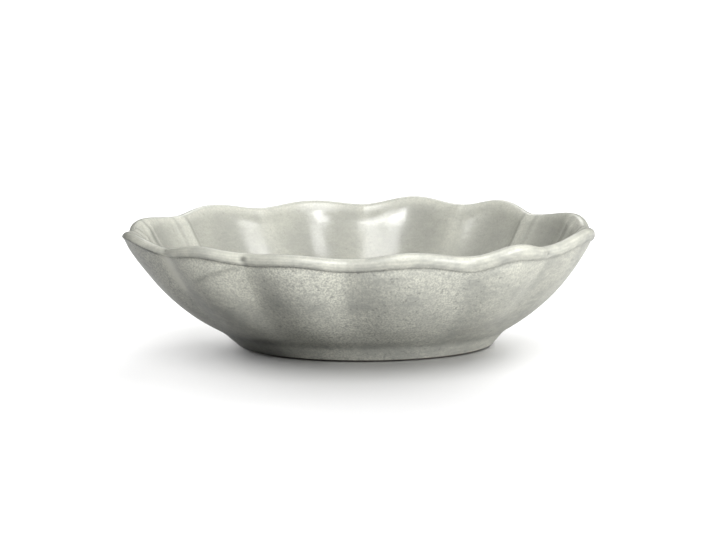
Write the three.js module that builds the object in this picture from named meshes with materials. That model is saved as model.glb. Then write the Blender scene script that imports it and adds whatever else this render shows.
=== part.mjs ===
// Small oval serving bowl of glazed clay with a scalloped rim, on a low foot ring.
// Millimetres, +Z up, X along the bowl, origin on the table under the middle of the bowl.
//
// Every piece is a turned profile. A profile point is (half length, height), where the half length is
// that of the plain oval ring on which the point lies. One shared function then bends the turned rings
// into the scalloped oval, so faces that touch in the profiles still touch in the finished bowl.
import * as THREE from "three";

// Rim, measured over the lip in the dips between the lobes
const RIM_LENGTH = 178.6;
const RIM_WIDTH = 137;
const RIM_HEIGHT = 45.2;

// Lobes of the rim, starting from the right end and going round by way of the back: the angles of the
// cusps between them, how far each cusp lies over or under the rim's height, and how far each lobe then
// rises over its cusps and bulges out of the plain oval. A roundness of 1 makes the cusps sharp, and 2
// makes them soft. An onset of 1 makes the bulge grow evenly up the wall, and 2 makes it start lower.
const CUSP_ANGLES = [1, 37, 61.75, 89, 117.75, 148, 180, 214.5, 241.25, 266.75, 298, 322];
const CUSP_RISES = [-0.4, -0.7, 0.6, -0.3, -0.5, 0, 0.3, -0.9, 0.9, -0.2, -0.7, -0.2];
const LOBE_RISES = [2.65, 3.15, 2.65, 1.6, 2.35, 1.35, 2.5, 2.3, 1.05, 2.55, 2.95, 3.5];
const LOBE_BULGE = 2.7;
const LOBE_ROUNDNESS = 1.26;
const LOBE_ONSET = 1.8;

// Wall over both glazes, how far it bellies out of a straight line, and the coil on its top edge
const WALL_THICKNESS = 4.6;
const WALL_BELLY = 3.5;
const LIP_DIAMETER = 4.9;
const LIP_OVERHANG = 0.5;
const LIP_SEAM_ANGLE = -46;
const LIP_CREST_ANGLE = 90;
const LIP_INNER_ANGLE = 150;

// Floor inside the bowl, and the soft curve from it into the wall
const FLOOR_HEIGHT = 9;
const FLOOR_BLEND_REACH = 14;
const FLOOR_BLEND_RISE = 2.5;

// Foot ring: its standing face is a little off centre under the bowl, as trimmed by hand, and the shift
// fades out up the wall
const FOOT_LENGTH = 98;
const FOOT_WIDTH = 68;
const FOOT_HEIGHT = 6.6;
const FOOT_FLARE = 6.8;
const FOOT_FACE_WIDTH = 4.6;
const FOOT_INNER_SLOPE = 0.8;
const FOOT_EDGE_ROUND = 0.5;
const FOOT_SHIFT = 2;
const FOOT_SHIFT_FADE = 4;
const RECESS_HEIGHT = 2.8;

// Glaze coats, wiped off the foot so that it stands on bare clay
const GLAZE_THICKNESS = 0.5;
const GLAZE_STOP_HEIGHT = 1.2;

// Fineness of the curves
const STEPS_PER_LOBE = 6;
const WALL_STEPS = 6;
const FLOOR_BLEND_STEPS = 3;
const LIP_OUTER_STEPS = 5;
const LIP_INNER_STEPS = 2;

const { clamp, degToRad, lerp, smoothstep } = THREE.MathUtils;
const point = (halfLength, height) => new THREE.Vector2(halfLength, height);

// Middle of the lip's round section, and the foot's half length
const lipRadius = LIP_DIAMETER / 2;
const lipCentre = point(RIM_LENGTH / 2 - lipRadius, RIM_HEIGHT - lipRadius);
const footHalfLength = FOOT_LENGTH / 2;

// Points on the lip's round section, from one angle to another, in degrees from level and outwards
function lipArc(fromAngle, toAngle, steps) {
  return Array.from({ length: steps + 1 }, (_, step) => {
    const angle = degToRad(lerp(fromAngle, toAngle, step / steps));
    return point(Math.cos(angle), Math.sin(angle)).multiplyScalar(lipRadius).add(lipCentre);
  });
}

// A profile moved sideways by a distance, to the right of the way it runs
function offset(profile, distance) {
  return profile.map((here, index) => {
    const before = profile[Math.max(index - 1, 0)];
    const after = profile[Math.min(index + 1, profile.length - 1)];
    const arriving = here.clone().sub(before).normalize();
    const leaving = after.clone().sub(here).normalize();
    const along = arriving.add(leaving).normalize();
    return point(here.x + along.y * distance, here.y - along.x * distance);
  });
}

// Glazed outside, from the foot up over the wall to the crest of the lip
const crease = point(footHalfLength + FOOT_FLARE, FOOT_HEIGHT);
const lipOutside = lipArc(LIP_SEAM_ANGLE, LIP_CREST_ANGLE, LIP_OUTER_STEPS);
const seam = point(lipOutside[0].x - LIP_OVERHANG, lipOutside[0].y);
const wallChord = seam.clone().sub(crease);
const wallControl = crease
  .clone()
  .add(seam)
  .multiplyScalar(0.5)
  .add(point(wallChord.y, -wallChord.x).setLength(2 * WALL_BELLY));
const wallOutside = new THREE.QuadraticBezierCurve(crease, wallControl, seam).getPoints(WALL_STEPS);

// Glazed inside, from the middle of the floor up the wall to the crest of the lip
const lipInside = lipArc(LIP_INNER_ANGLE, LIP_CREST_ANGLE, LIP_INNER_STEPS);
const wallInside = offset(wallOutside, -WALL_THICKNESS).filter(
  (here) => here.y > FLOOR_HEIGHT + FLOOR_BLEND_RISE,
);
const blendSlope = wallInside[1].clone().sub(wallInside[0]);
const blendControl = point(
  wallInside[0].x - ((wallInside[0].y - FLOOR_HEIGHT) * blendSlope.x) / blendSlope.y,
  FLOOR_HEIGHT,
);
const floorBlend = new THREE.QuadraticBezierCurve(
  point(blendControl.x - FLOOR_BLEND_REACH, FLOOR_HEIGHT),
  blendControl,
  wallInside[0],
).getPoints(FLOOR_BLEND_STEPS);
const inside = [point(0, FLOOR_HEIGHT), ...floorBlend, ...wallInside.slice(1), ...lipInside];

// Clay under the glaze: the same outlines, one coat deeper, meeting under the crest of the lip
const crestClay = point(lipCentre.x, RIM_HEIGHT - GLAZE_THICKNESS);
const outside = [...wallOutside, ...lipOutside];
const outsideClay = [...offset(outside, -GLAZE_THICKNESS).slice(0, -1), crestClay];
const insideClay = [...offset(inside, GLAZE_THICKNESS).slice(0, -1), crestClay];

// The lip roll sits on the wall's top edge, from the seam outside to where its inner side begins
const outerSeat = wallOutside.length - 1;
const innerSeat = inside.length - lipInside.length;
const wallClay = outsideClay.slice(0, outerSeat + 1);
const lipClay = outsideClay.slice(outerSeat);
const insideWallClay = insideClay.slice(0, innerSeat + 1);
const insideLipClay = insideClay.slice(innerSeat);

// Clay of the foot: a standing face, a flared outside and a steep inside round the hollow underneath
const footTop = wallClay[0];
const footSlope = footTop.clone().sub(point(footHalfLength, 0)).divideScalar(footTop.y);
const onFootOutside = (height) => point(footHalfLength + footSlope.x * height, height);
const footStandOuter = footHalfLength - FOOT_EDGE_ROUND;
const footStandInner = footHalfLength - FOOT_FACE_WIDTH;
const recessClayHeight = RECESS_HEIGHT + GLAZE_THICKNESS;
const onFootInside = (height) => point(footStandInner - FOOT_INNER_SLOPE * height, height);
const footInnerTop = onFootInside(recessClayHeight);
const glazeStopOutside = onFootOutside(GLAZE_STOP_HEIGHT);
const glazeStopInside = onFootInside(GLAZE_STOP_HEIGHT);

// Closed profiles, each running anticlockwise: out below, up the outside and back in above
const bodyProfile = [
  point(0, recessClayHeight),
  footInnerTop,
  ...wallClay,
  ...insideWallClay.toReversed(),
];
const lipRollProfile = [...lipClay, ...insideLipClay.toReversed().slice(1)];
const footRingProfile = [
  point(footStandInner, 0),
  point(footStandOuter, 0),
  onFootOutside(FOOT_EDGE_ROUND),
  glazeStopOutside,
  footTop,
  footInnerTop,
  glazeStopInside,
];
const glazeOutsideProfile = [glazeStopOutside, ...outside, ...outsideClay.toReversed()];
const glazeInsideProfile = [...insideClay, ...inside.toReversed()];
const glazeUndersideProfile = [
  point(0, RECESS_HEIGHT),
  point(footInnerTop.x - GLAZE_THICKNESS, RECESS_HEIGHT),
  glazeStopInside,
  footInnerTop,
  point(0, recessClayHeight),
];

// Half width of the plain oval ring of a half length: the foot is a slimmer oval than the rim
function halfWidth(halfLength) {
  const share = (halfLength - footHalfLength) / (lipCentre.x - footHalfLength);
  const rimAspect = (RIM_WIDTH / 2 - lipRadius) / lipCentre.x;
  return halfLength * lerp(FOOT_WIDTH / FOOT_LENGTH, rimAspect, share);
}

// Where a profile point comes to lie at one step round the bowl. The lobes grow out of the plain oval
// of the foot and reach their full bulge and rise at the lip.
function place({ x: halfLength, y: height }, step) {
  const lobe = Math.floor(step / STEPS_PER_LOBE) % CUSP_ANGLES.length;
  const acrossLobe = (step % STEPS_PER_LOBE) / STEPS_PER_LOBE;
  const nextCusp = CUSP_ANGLES[lobe + 1] ?? CUSP_ANGLES[0] + 360;
  const nextRise = CUSP_RISES[lobe + 1] ?? CUSP_RISES[0];
  const angle = degToRad(lerp(CUSP_ANGLES[lobe], nextCusp, acrossLobe));
  const swell = Math.sin(Math.PI * acrossLobe);
  const climb = clamp((height - FOOT_HEIGHT) / (seam.y - FOOT_HEIGHT), 0, 1);
  const width = halfWidth(halfLength);
  const outwards = point(width * Math.cos(angle), halfLength * Math.sin(angle)).normalize();
  const sideways = FOOT_SHIFT * clamp(1 - height / seam.y, 0, 1) ** FOOT_SHIFT_FADE;
  const offAxis = smoothstep(halfLength, 0, footHalfLength);
  const growth = (1 - (1 - climb) ** LOBE_ONSET) * offAxis;
  const bulge = LOBE_BULGE * swell ** LOBE_ROUNDNESS * growth;
  const rise = lerp(CUSP_RISES[lobe], nextRise, acrossLobe) + LOBE_RISES[lobe] * swell ** 2;
  return [
    halfLength * Math.cos(angle) + outwards.x * bulge + sideways,
    width * Math.sin(angle) + outwards.y * bulge,
    height + rise * (climb * offAxis) ** 2,
  ];
}

// The two triangles of the patch between a profile edge and its copy one step on. Two pieces that share
// a face run over it in opposite directions, so the patch is cut across from the lower end of its edge,
// which is the same for both. On the axis a patch has three corners and is one triangle.
function patchTriangles(here, next, corner, across) {
  const rising = next.y - here.y || next.x - here.x;
  if (here.x === 0) return [across + 1, corner + 1, corner];
  if (next.x === 0) return [corner, across, corner + 1];
  return rising > 0
    ? [corner, across, corner + 1, across + 1, corner + 1, across]
    : [corner, across, across + 1, corner, across + 1, corner + 1];
}

// A profile turned round the axis and bent into the scalloped oval, as one closed skin
function turn(profile) {
  const startsOnAxis = profile[0].x === 0;
  const outline = startsOnAxis ? profile : [...profile, profile[0]];
  const steps = STEPS_PER_LOBE * CUSP_ANGLES.length;
  const geometry = new THREE.LatheGeometry(outline, steps);
  const positions = geometry.getAttribute("position");
  const triangles = [];
  for (let step = 0; step <= steps; step += 1) {
    outline.forEach((here, index) => {
      const corner = step * outline.length + index;
      positions.setXYZ(corner, ...place(here, step % steps));
      const next = outline[index + 1];
      if (next && step < steps) {
        triangles.push(...patchTriangles(here, next, corner, corner + outline.length));
      }
    });
  }
  geometry.setIndex(triangles);
  geometry.deleteAttribute("uv");
  geometry.computeVertexNormals();
  return geometry;
}

const bareClay = { color: "#cfc8b8", roughness: 0.85, metalness: 0 };
const greyGreenGlaze = { color: "#a3a89b", roughness: 0.16, metalness: 0 };

function piece(name, profile, finish) {
  const mesh = new THREE.Mesh(turn(profile), new THREE.MeshStandardMaterial(finish));
  mesh.name = name;
  return mesh;
}

const pieces = new THREE.Group();
pieces.add(
  piece("body", bodyProfile, bareClay),
  piece("lip_roll", lipRollProfile, bareClay),
  piece("foot_ring", footRingProfile, bareClay),
  piece("glaze_inside", glazeInsideProfile, greyGreenGlaze),
  piece("glaze_outside", glazeOutsideProfile, greyGreenGlaze),
  piece("glaze_underside", glazeUndersideProfile, greyGreenGlaze),
);

// The lobes are uneven, so the bowl is moved to have the middle of its outline over the origin
const middle = new THREE.Box3().setFromObject(pieces).getCenter(new THREE.Vector3());
pieces.position.set(-middle.x, -middle.y, 0);

const bowl = new THREE.Group();
bowl.name = "serving_bowl";
bowl.add(pieces);

export default bowl;
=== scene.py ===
# %% [markdown]
# A small oval serving bowl of glazed clay, with twelve scallops round its rim, a rolled lip and a low
# foot. On the real bowl a potter presses a clay shell into its lobes, rolls the edge over, trims the
# foot and then covers nearly all of it with a grey-green glaze. This lesson goes the same way: a
# section is drawn, spun into a round shell, pressed into the scalloped oval, and then glazed with
# node materials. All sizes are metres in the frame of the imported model.

# %% Load the fixed frame
import math
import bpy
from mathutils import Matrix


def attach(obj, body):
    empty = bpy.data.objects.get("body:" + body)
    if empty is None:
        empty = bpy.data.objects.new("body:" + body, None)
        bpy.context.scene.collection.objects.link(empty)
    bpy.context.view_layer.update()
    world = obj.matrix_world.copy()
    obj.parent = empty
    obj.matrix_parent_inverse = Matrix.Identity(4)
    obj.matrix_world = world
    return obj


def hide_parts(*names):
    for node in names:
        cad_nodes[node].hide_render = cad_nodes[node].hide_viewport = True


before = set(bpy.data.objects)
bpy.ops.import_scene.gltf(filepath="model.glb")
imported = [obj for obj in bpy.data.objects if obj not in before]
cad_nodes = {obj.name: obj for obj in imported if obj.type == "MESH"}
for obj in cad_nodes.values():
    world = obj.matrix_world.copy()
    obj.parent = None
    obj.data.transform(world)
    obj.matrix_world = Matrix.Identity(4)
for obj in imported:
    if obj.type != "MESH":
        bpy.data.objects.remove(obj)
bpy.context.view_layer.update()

from types import SimpleNamespace

import bpy
import numpy as np
from mathutils import Vector

print("solids in the frame:", sorted(cad_nodes))

# %% [markdown]
# The driving sizes. They are those of the solids in the frame, so every piece that is drawn here lies
# where its solid lies. Only the glaze stops a little lower on the foot than it does there. The rim is
# measured over the lip in the dips between the lobes, and the lobes then rise and bulge out of that
# plain oval. The angles of the twelve dips, called cusps here, start at the right end of the bowl and go
# round by way of the back. The rises of the cusps and the lobes are in millimetres.

# %% Sizes of the bowl
MM = 0.001
RIM_LENGTH = 178.6 * MM
RIM_WIDTH = 137 * MM
RIM_HEIGHT = 45.2 * MM
CUSP_ANGLES = [1, 37, 61.75, 89, 117.75, 148, 180, 214.5, 241.25, 266.75, 298, 322]
CUSP_RISES = [-0.4, -0.7, 0.6, -0.3, -0.5, 0, 0.3, -0.9, 0.9, -0.2, -0.7, -0.2]
LOBE_RISES = [2.65, 3.15, 2.65, 1.6, 2.35, 1.35, 2.5, 2.3, 1.05, 2.55, 2.95, 3.5]
LOBE_BULGE = 2.7 * MM
LIP_ROUNDNESS = 1.26
WALL_ROUNDNESS = 1.7
LOBE_ONSET = 1.8
WALL_THICKNESS = 4.6 * MM
WALL_BELLY = 3.5 * MM
LIP_RADIUS = 2.45 * MM
LIP_OVERHANG = 0.5 * MM
LIP_SEAM_ANGLE = -46
LIP_CREST_ANGLE = 90
LIP_INNER_ANGLE = 150
FLOOR_HEIGHT = 9 * MM
FLOOR_BLEND_REACH = 14 * MM
INSIDE_WALL_START = 1 / 6
FOOT_HALF_LENGTH = 49 * MM
FOOT_HALF_WIDTH = 34 * MM
FOOT_HEIGHT = 6.6 * MM
FOOT_FLARE = 6.8 * MM
FOOT_FACE_WIDTH = 4.6 * MM
FOOT_INNER_SLOPE = 0.8
FOOT_SHIFT = 2 * MM
FOOT_SHIFT_FADE = 4
RECESS_HEIGHT = 2.8 * MM
GLAZE_THICKNESS = 0.5 * MM
GLAZE_STOP_HEIGHT = 0.9 * MM
LOBES = len(CUSP_ANGLES)
print("bowl of", LOBES, "lobes,", round(RIM_LENGTH / MM), "by", round(RIM_WIDTH / MM), "mm in the dips")

# %% [markdown]
# The section of the bowl is a line of points, each a half length and a height: the half length says how
# far out along the bowl the point lies. The wall is one soft curve from the foot to the lip, and the lip
# is a round coil on top of it. A section could also be traced by eye with the mouse, but working it out
# from the sizes keeps the glaze exactly one coat above the clay.

# %% Curves that the sections are made of
def arc(centre, radius, first_angle, last_angle, steps):
    angles = np.radians(np.linspace(first_angle, last_angle, steps + 1))
    return [centre + radius * Vector((math.cos(angle), math.sin(angle))) for angle in angles]


def soft_curve(start, control, end, steps, first=0.0):
    shares = np.linspace(first, 1, steps + 1)
    return [start * (1 - s) ** 2 + control * 2 * s * (1 - s) + end * s**2 for s in shares]


def moved_aside(points, distance):
    """The line moved to the right of the way it runs."""
    moved = []
    for index, here in enumerate(points):
        arriving = (here - points[max(index - 1, 0)]).normalized()
        leaving = (points[min(index + 1, len(points) - 1)] - here).normalized()
        along = (arriving + leaving).normalized()
        moved.append(here + distance * Vector((along.y, -along.x)))
    return moved


def straight(start, end, steps):
    return [start.lerp(end, share) for share in np.linspace(0, 1, steps + 1)]


def in_mm(point):
    return tuple(round(measure / MM, 1) for measure in point)


lip_centre = Vector((RIM_LENGTH / 2 - LIP_RADIUS, RIM_HEIGHT - LIP_RADIUS))
crease = Vector((FOOT_HALF_LENGTH + FOOT_FLARE, FOOT_HEIGHT))
lip_start = arc(lip_centre, LIP_RADIUS, LIP_SEAM_ANGLE, LIP_CREST_ANGLE, 1)[0]
seam = lip_start - Vector((LIP_OVERHANG, 0))
chord = seam - crease
wall_control = (crease + seam) / 2 + Vector((chord.y, -chord.x)).normalized() * 2 * WALL_BELLY
print("wall from", in_mm(crease), "to", in_mm(seam), "mm")

# %% [markdown]
# The outer section runs from the bare edge of the foot up the wall, in under the lip, and over the lip
# to its crest. Where the coil was pressed on, a narrow groove is left under it, and later a painted
# shadow darkens it into a dark line. The crease above the foot is eased a little, as glaze never leaves
# a knife edge, and at its lower end the glaze stops in a small bead.

# %% Outer section
WALL_STEPS = 62
FOOT_STEPS = 6
EASE_STEPS = 5
LIP_STEPS = 26
CREST_STEPS = 5
CREST_REACH = 12
CREST_STEP = 2
CLAY_WALL_STEPS = 12
CLAY_LIP_STEPS = 8
GROOVE_DEPTH = 0.42 * MM
GROOVE_LINE = [(0.05 * MM, 0.5), (0.2 * MM, 1), (0.4 * MM, 0.6)]
GLAZE_BEAD = [(0.12 * MM, -0.04 * MM), (0.3 * MM, 0.16 * MM)]
CREASE_EASE = 2.2 * MM
EASE_UP_WALL = 1.3

glaze_stop = Vector((FOOT_HALF_LENGTH + FOOT_FLARE * GLAZE_STOP_HEIGHT / FOOT_HEIGHT, GLAZE_STOP_HEIGHT))
crease_below = crease - (crease - glaze_stop).normalized() * CREASE_EASE
wall = soft_curve(crease, wall_control, seam, WALL_STEPS)
wall_from_ease = [here for here in wall if (here - crease).length > CREASE_EASE * EASE_UP_WALL]
eased_crease = soft_curve(crease_below, crease, wall_from_ease[0], EASE_STEPS)
groove = [seam + Vector((out, GROOVE_DEPTH * share)) for out, share in GROOVE_LINE]
near_crest = LIP_CREST_ANGLE - CREST_REACH
lip_outside = arc(lip_centre, LIP_RADIUS, LIP_SEAM_ANGLE, near_crest, LIP_STEPS)
lip_outside += arc(lip_centre, LIP_RADIUS, near_crest + CREST_STEP, LIP_CREST_ANGLE, CREST_STEPS)
glaze_bead = [glaze_stop + Vector(offset) for offset in GLAZE_BEAD]
foot_side = straight(glaze_bead[-1], crease_below, FOOT_STEPS)[1:-1]
outer_skin = [glaze_stop, *glaze_bead, *foot_side, *eased_crease]
outer_skin += wall_from_ease[1:] + groove + lip_outside
plain_outside = soft_curve(crease, wall_control, seam, CLAY_WALL_STEPS)
plain_outside += arc(lip_centre, LIP_RADIUS, LIP_SEAM_ANGLE, LIP_CREST_ANGLE, CLAY_LIP_STEPS)
outer_clay = moved_aside(plain_outside, -GLAZE_THICKNESS)
outer_clay[-1] = Vector((lip_centre.x, RIM_HEIGHT - GLAZE_THICKNESS))
outer_section = outer_skin + outer_clay[::-1] + [glaze_stop]
print("outer section:", len(outer_section), "points")

# %% [markdown]
# The inner section runs from the middle of the floor, round a soft curve, up the inside of the wall and
# over the inner side of the lip. It meets the outer glaze at the crest, where both end in a flat edge.

# %% Inner section
FLOOR_STEPS = 10
BLEND_STEPS = 16
INNER_LIP_STEPS = 10
CLAY_POINT_EVERY = 4

inner_wall = soft_curve(crease, wall_control, seam, WALL_STEPS, INSIDE_WALL_START)
inner_wall = moved_aside(inner_wall, -WALL_THICKNESS)
blend_way = inner_wall[1] - inner_wall[0]
blend_reach = (inner_wall[0].y - FLOOR_HEIGHT) * blend_way.x / blend_way.y
blend_control = Vector((inner_wall[0].x - blend_reach, FLOOR_HEIGHT))
blend_start = blend_control - Vector((FLOOR_BLEND_REACH, 0))
floor_line = straight(Vector((0, FLOOR_HEIGHT)), blend_start, FLOOR_STEPS)
floor_blend = soft_curve(blend_start, blend_control, inner_wall[0], BLEND_STEPS)
past_crest = LIP_CREST_ANGLE + CREST_REACH
lip_inside = arc(lip_centre, LIP_RADIUS, LIP_INNER_ANGLE, past_crest, INNER_LIP_STEPS)
lip_inside += arc(lip_centre, LIP_RADIUS, past_crest - CREST_STEP, LIP_CREST_ANGLE, CREST_STEPS)
inner_skin = floor_line + floor_blend[1:] + inner_wall[1:-2] + lip_inside
inner_clay = moved_aside(inner_skin, GLAZE_THICKNESS)[:-1:CLAY_POINT_EVERY] + [outer_clay[-1]]
inner_clay[0] = Vector((0, FLOOR_HEIGHT - GLAZE_THICKNESS))
inner_section = inner_clay + inner_skin[::-1]
print("inner section:", len(inner_section), "points")

# %% [markdown]
# A bowl like this starts on the wheel, so each shell starts as a spin. One vertex is left of a plane by
# merging it, and it is extruded from point to point until the section is drawn. Spin then carries the
# section once round the upright axis. A Screw modifier would do the same, but the operator leaves plain
# vertices that the next step can press into shape. Spinning can turn a shape inside out, so doubles are
# merged and normals are recalculated afterwards.

# %% Draw a section and spin it
WELD_DISTANCE = 0.002 * MM


def deselect_everything():
    bpy.ops.object.select_all(action="DESELECT")


def spun(name, section, steps_per_lobe):
    deselect_everything()
    bpy.ops.mesh.primitive_plane_add(size=MM, location=(0, 0, 0))
    piece = bpy.context.object
    piece.name = piece.data.name = name
    bpy.ops.object.mode_set(mode="EDIT")
    bpy.ops.mesh.select_all(action="SELECT")
    bpy.ops.mesh.merge(type="CENTER")
    bpy.ops.transform.translate(value=(section[0].x, 0, section[0].y))
    for before, here in zip(section, section[1:]):
        step = here - before
        bpy.ops.mesh.extrude_region_move(TRANSFORM_OT_translate={"value": (step.x, 0, step.y)})
    bpy.ops.mesh.select_all(action="SELECT")
    bpy.ops.mesh.spin(steps=steps_per_lobe * LOBES, angle=2 * math.pi, center=(0, 0, 0), axis=(0, 0, 1))
    bpy.ops.mesh.select_all(action="SELECT")
    bpy.ops.mesh.remove_doubles(threshold=WELD_DISTANCE)
    bpy.ops.mesh.delete_loose(use_verts=True, use_edges=True, use_faces=False)
    bpy.ops.mesh.select_all(action="SELECT")
    bpy.ops.mesh.normals_make_consistent(inside=False)
    bpy.ops.object.mode_set(mode="OBJECT")
    print(name, "spun:", len(piece.data.vertices), "vertices,", len(piece.data.polygons), "faces")
    return piece


# %% [markdown]
# Before a shell is shaped, each of its vertices is measured: which lobe it belongs to, how far across
# the lobe and how far up the wall it lies. The vertices crowd towards the cusps, where the shape turns
# fastest. Three small curves serve all the steps that follow: a soft slope, a soft hump, and a soft
# stretch with a start and an end.

# %% Measure a spun shell
CROWDING = 0.55
ON_CUSP = 1e-5


def eased(value, low, high):
    """0 up to the low place, 1 from the high place on, and a soft slope between them."""
    share = np.clip((value - low) / (high - low), 0, 1)
    return share * share * (3 - 2 * share)


def hump(value, middle, half_width):
    """1 in the middle, falling off softly to 0 on both sides."""
    return np.exp(-(((value - middle) / half_width) ** 2))


def between(value, begins, full, fades, ends):
    """1 on a stretch and 0 away from it, with a soft start and end."""
    return eased(value, begins, full) * (1 - eased(value, fades, ends))


def round_the_bowl(points):
    """Lobe number, place across the lobe from 0 to 1, and true angle of each spun vertex."""
    turn = np.arctan2(points[:, 1], points[:, 0]) / (2 * np.pi) % 1
    steps = turn * LOBES + ON_CUSP
    lobe = np.floor(steps).astype(int) % LOBES
    across = np.clip(steps - np.floor(steps) - ON_CUSP, 0, 1)
    across = across - CROWDING * np.sin(2 * np.pi * across) / (2 * np.pi)
    cusps = np.array(CUSP_ANGLES + [CUSP_ANGLES[0] + 360], dtype=float)
    angle = np.radians(cusps[lobe] + (cusps[lobe + 1] - cusps[lobe]) * across)
    return lobe, across, angle


def up_the_wall(height):
    return np.clip((height - FOOT_HEIGHT) / (seam.y - FOOT_HEIGHT), 0, 1)


def measured(points):
    spot = SimpleNamespace()
    spot.lobe, spot.across, spot.angle = round_the_bowl(points)
    spot.turn = np.degrees(spot.angle)
    spot.from_cusp = np.minimum(spot.across, 1 - spot.across)
    spot.half_length = np.hypot(points[:, 0], points[:, 1])
    spot.height = points[:, 2]
    spot.up_wall = up_the_wall(spot.height)
    spot.above_seam = spot.height - seam.y
    return spot


def from_cusp_to_cusp(values, spot):
    """Values given at the cusps, blended evenly across the lobes."""
    closed = np.array(values + values[:1])
    return closed[spot.lobe] + (closed[spot.lobe + 1] - closed[spot.lobe]) * spot.across


print("cusps at", CUSP_ANGLES, "degrees")

# %% [markdown]
# The round shell is now pressed into the scalloped oval. On the real bowl each lobe is pushed out from
# inside while the clay is soft. Lattices or proportional editing could push the lobes one by one, but
# the rule is the same for all of them, so one function moves every vertex: the ring becomes an oval, the
# lobes swell out and rise between the cusps, and the foot is set a little off centre. The lobes grow
# out of the plain foot and reach their full size at the lip. Inside, the clay between the lobes is left
# standing as ribs: crisp ones at the two ends, with one slim rib more near each tip, and soft flutes
# along the sides.

# %% Press a spun shell into lobes
ROUNDNESS_CHANGES_FROM = 24 * MM
ENDS = (0.5, 0.78)
RIB_HALF_SHARE = 0.05
RIB_SIDE_SHARE = 0.08
RIB_SHARPNESS = 1.04
RIB_PROUD = 0.7 * MM
FLUTE_PROUD = 1.3 * MM
RIB_FADE_FROM = 39 * MM
RIB_FADE_TO = 43.5 * MM
RIB_RISE_AT_ENDS = 1.3 * MM
TIP_RIBS = (15.5, 166.5)
TIP_RIB_HALF_TURN = 2.8
TIP_RIB_PROUD = 0.8 * MM
TINY = 1e-9


def at_ends(angle):
    """1 at the two ends of the oval and 0 along its sides."""
    return eased(np.abs(np.cos(angle)), *ENDS)


def tip_rib(turn, half_turn):
    """1 on the crest of a slim rib near one of the two tips, and 0 away from it."""
    return sum(hump(turn, place, half_turn) for place in TIP_RIBS)


def fluted_bulge(spot):
    """How far the inner wall is pressed out: crisp between ribs at the ends, soft along the sides."""
    flute = np.clip((spot.across - RIB_HALF_SHARE) / (1 - 2 * RIB_HALF_SHARE), 0, 1)
    ribbed_bulge = np.clip(np.sin(np.pi * flute), 0, 1) ** RIB_SHARPNESS
    beside_rib = np.clip(spot.from_cusp - RIB_HALF_SHARE, 0, 1)
    crisp = LOBE_BULGE * ribbed_bulge - RIB_PROUD * hump(beside_rib, 0, RIB_SIDE_SHARE)
    soft = (LOBE_BULGE + FLUTE_PROUD) * np.sin(np.pi * spot.across) ** 2 - FLUTE_PROUD
    fluted = soft + (crisp - soft) * at_ends(spot.angle)
    return fluted - TIP_RIB_PROUD * tip_rib(spot.turn, TIP_RIB_HALF_TURN)


def pressed(half_length, height, spot, ribbed):
    foot_aspect = FOOT_HALF_WIDTH / FOOT_HALF_LENGTH
    rim_aspect = (RIM_WIDTH / 2 - LIP_RADIUS) / lip_centre.x
    share = (half_length - FOOT_HALF_LENGTH) / (lip_centre.x - FOOT_HALF_LENGTH)
    half_width = half_length * (foot_aspect + (rim_aspect - foot_aspect) * share)
    swell = np.sin(np.pi * spot.across)
    climb = up_the_wall(height)
    off_axis = eased(half_length, 0, FOOT_HALF_LENGTH)
    growth = (1 - (1 - climb) ** LOBE_ONSET) * off_axis
    near_lip = eased(height, ROUNDNESS_CHANGES_FROM, seam.y)
    roundness = WALL_ROUNDNESS + (LIP_ROUNDNESS - WALL_ROUNDNESS) * near_lip
    bulge = LOBE_BULGE * np.clip(swell, 0, 1) ** roundness
    if ribbed:
        higher = RIB_RISE_AT_ENDS * at_ends(spot.angle)
        rib = 1 - eased(height, RIB_FADE_FROM + 2 * higher, RIB_FADE_TO + higher)
        bulge = bulge * (1 - rib) + fluted_bulge(spot) * rib
    out_x = half_width * np.cos(spot.angle)
    out_y = half_length * np.sin(spot.angle)
    outward = growth * bulge / np.maximum(np.hypot(out_x, out_y), TINY)
    sideways = FOOT_SHIFT * np.clip(1 - height / seam.y, 0, 1) ** FOOT_SHIFT_FADE
    rise = from_cusp_to_cusp(CUSP_RISES, spot) + np.array(LOBE_RISES)[spot.lobe] * swell**2
    rise = rise * MM * (climb * off_axis) ** 2
    x = half_length * np.cos(spot.angle) + outward * out_x + sideways
    y = half_width * np.sin(spot.angle) + outward * out_y
    return np.stack([x, y, height + rise], axis=1)


print("lobes", round(LOBE_BULGE / MM, 1), "mm deep")

# %% [markdown]
# The coil of the lip was pressed on by hand, so it isn't the same all round: its lower edge dips and
# climbs, it is pinched thin at one cusp, and fingers left small dents in it. These are the differences
# in millimetres, at the cusps and in the middle of the lobes, as the bowl shows them in front. The ones
# at the back are made up in the same manner. A dent has an angle round the bowl, an angle round the lip,
# a size and a depth. A wobble has a size, a number of waves and a start.

# %% Unevenness of the hand-made lip
LIP_DROP_AT_CUSPS = [0.3, 0.2, 0, 0, 0.2, -0.3, -1.4, -2.2, 0.3, 0.3, 1.7, 0.3]
LIP_DROP_ON_LOBES = [0.2, 0.3, 0.1, 0.2, 0.2, -0.4, -2.2, -0.3, -0.3, 1.0, 1.3, 0.5]
LIP_DENTS = [(241.0, 4, 1.2, 0.9), (321.6, -4, 1.0, 0.7), (214.7, 10, 1.2, 0.6), (298.4, -20, 1.2, 0.4)]
WOBBLES = [(0.10, 7, 1.3), (0.08, 13, 0.4), (0.06, 23, 2.1)]
LIP_DROP_ENDS_AT = 55
LIP_UNDERSIDE = -90
SEAM_PULL = 7
SEAM_SLACK = 0.01 * MM


def around_the_lip(spot):
    """Angle round the section of the lip, in degrees."""
    return np.degrees(np.arctan2(spot.height - lip_centre.y, spot.half_length - lip_centre.x))


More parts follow.
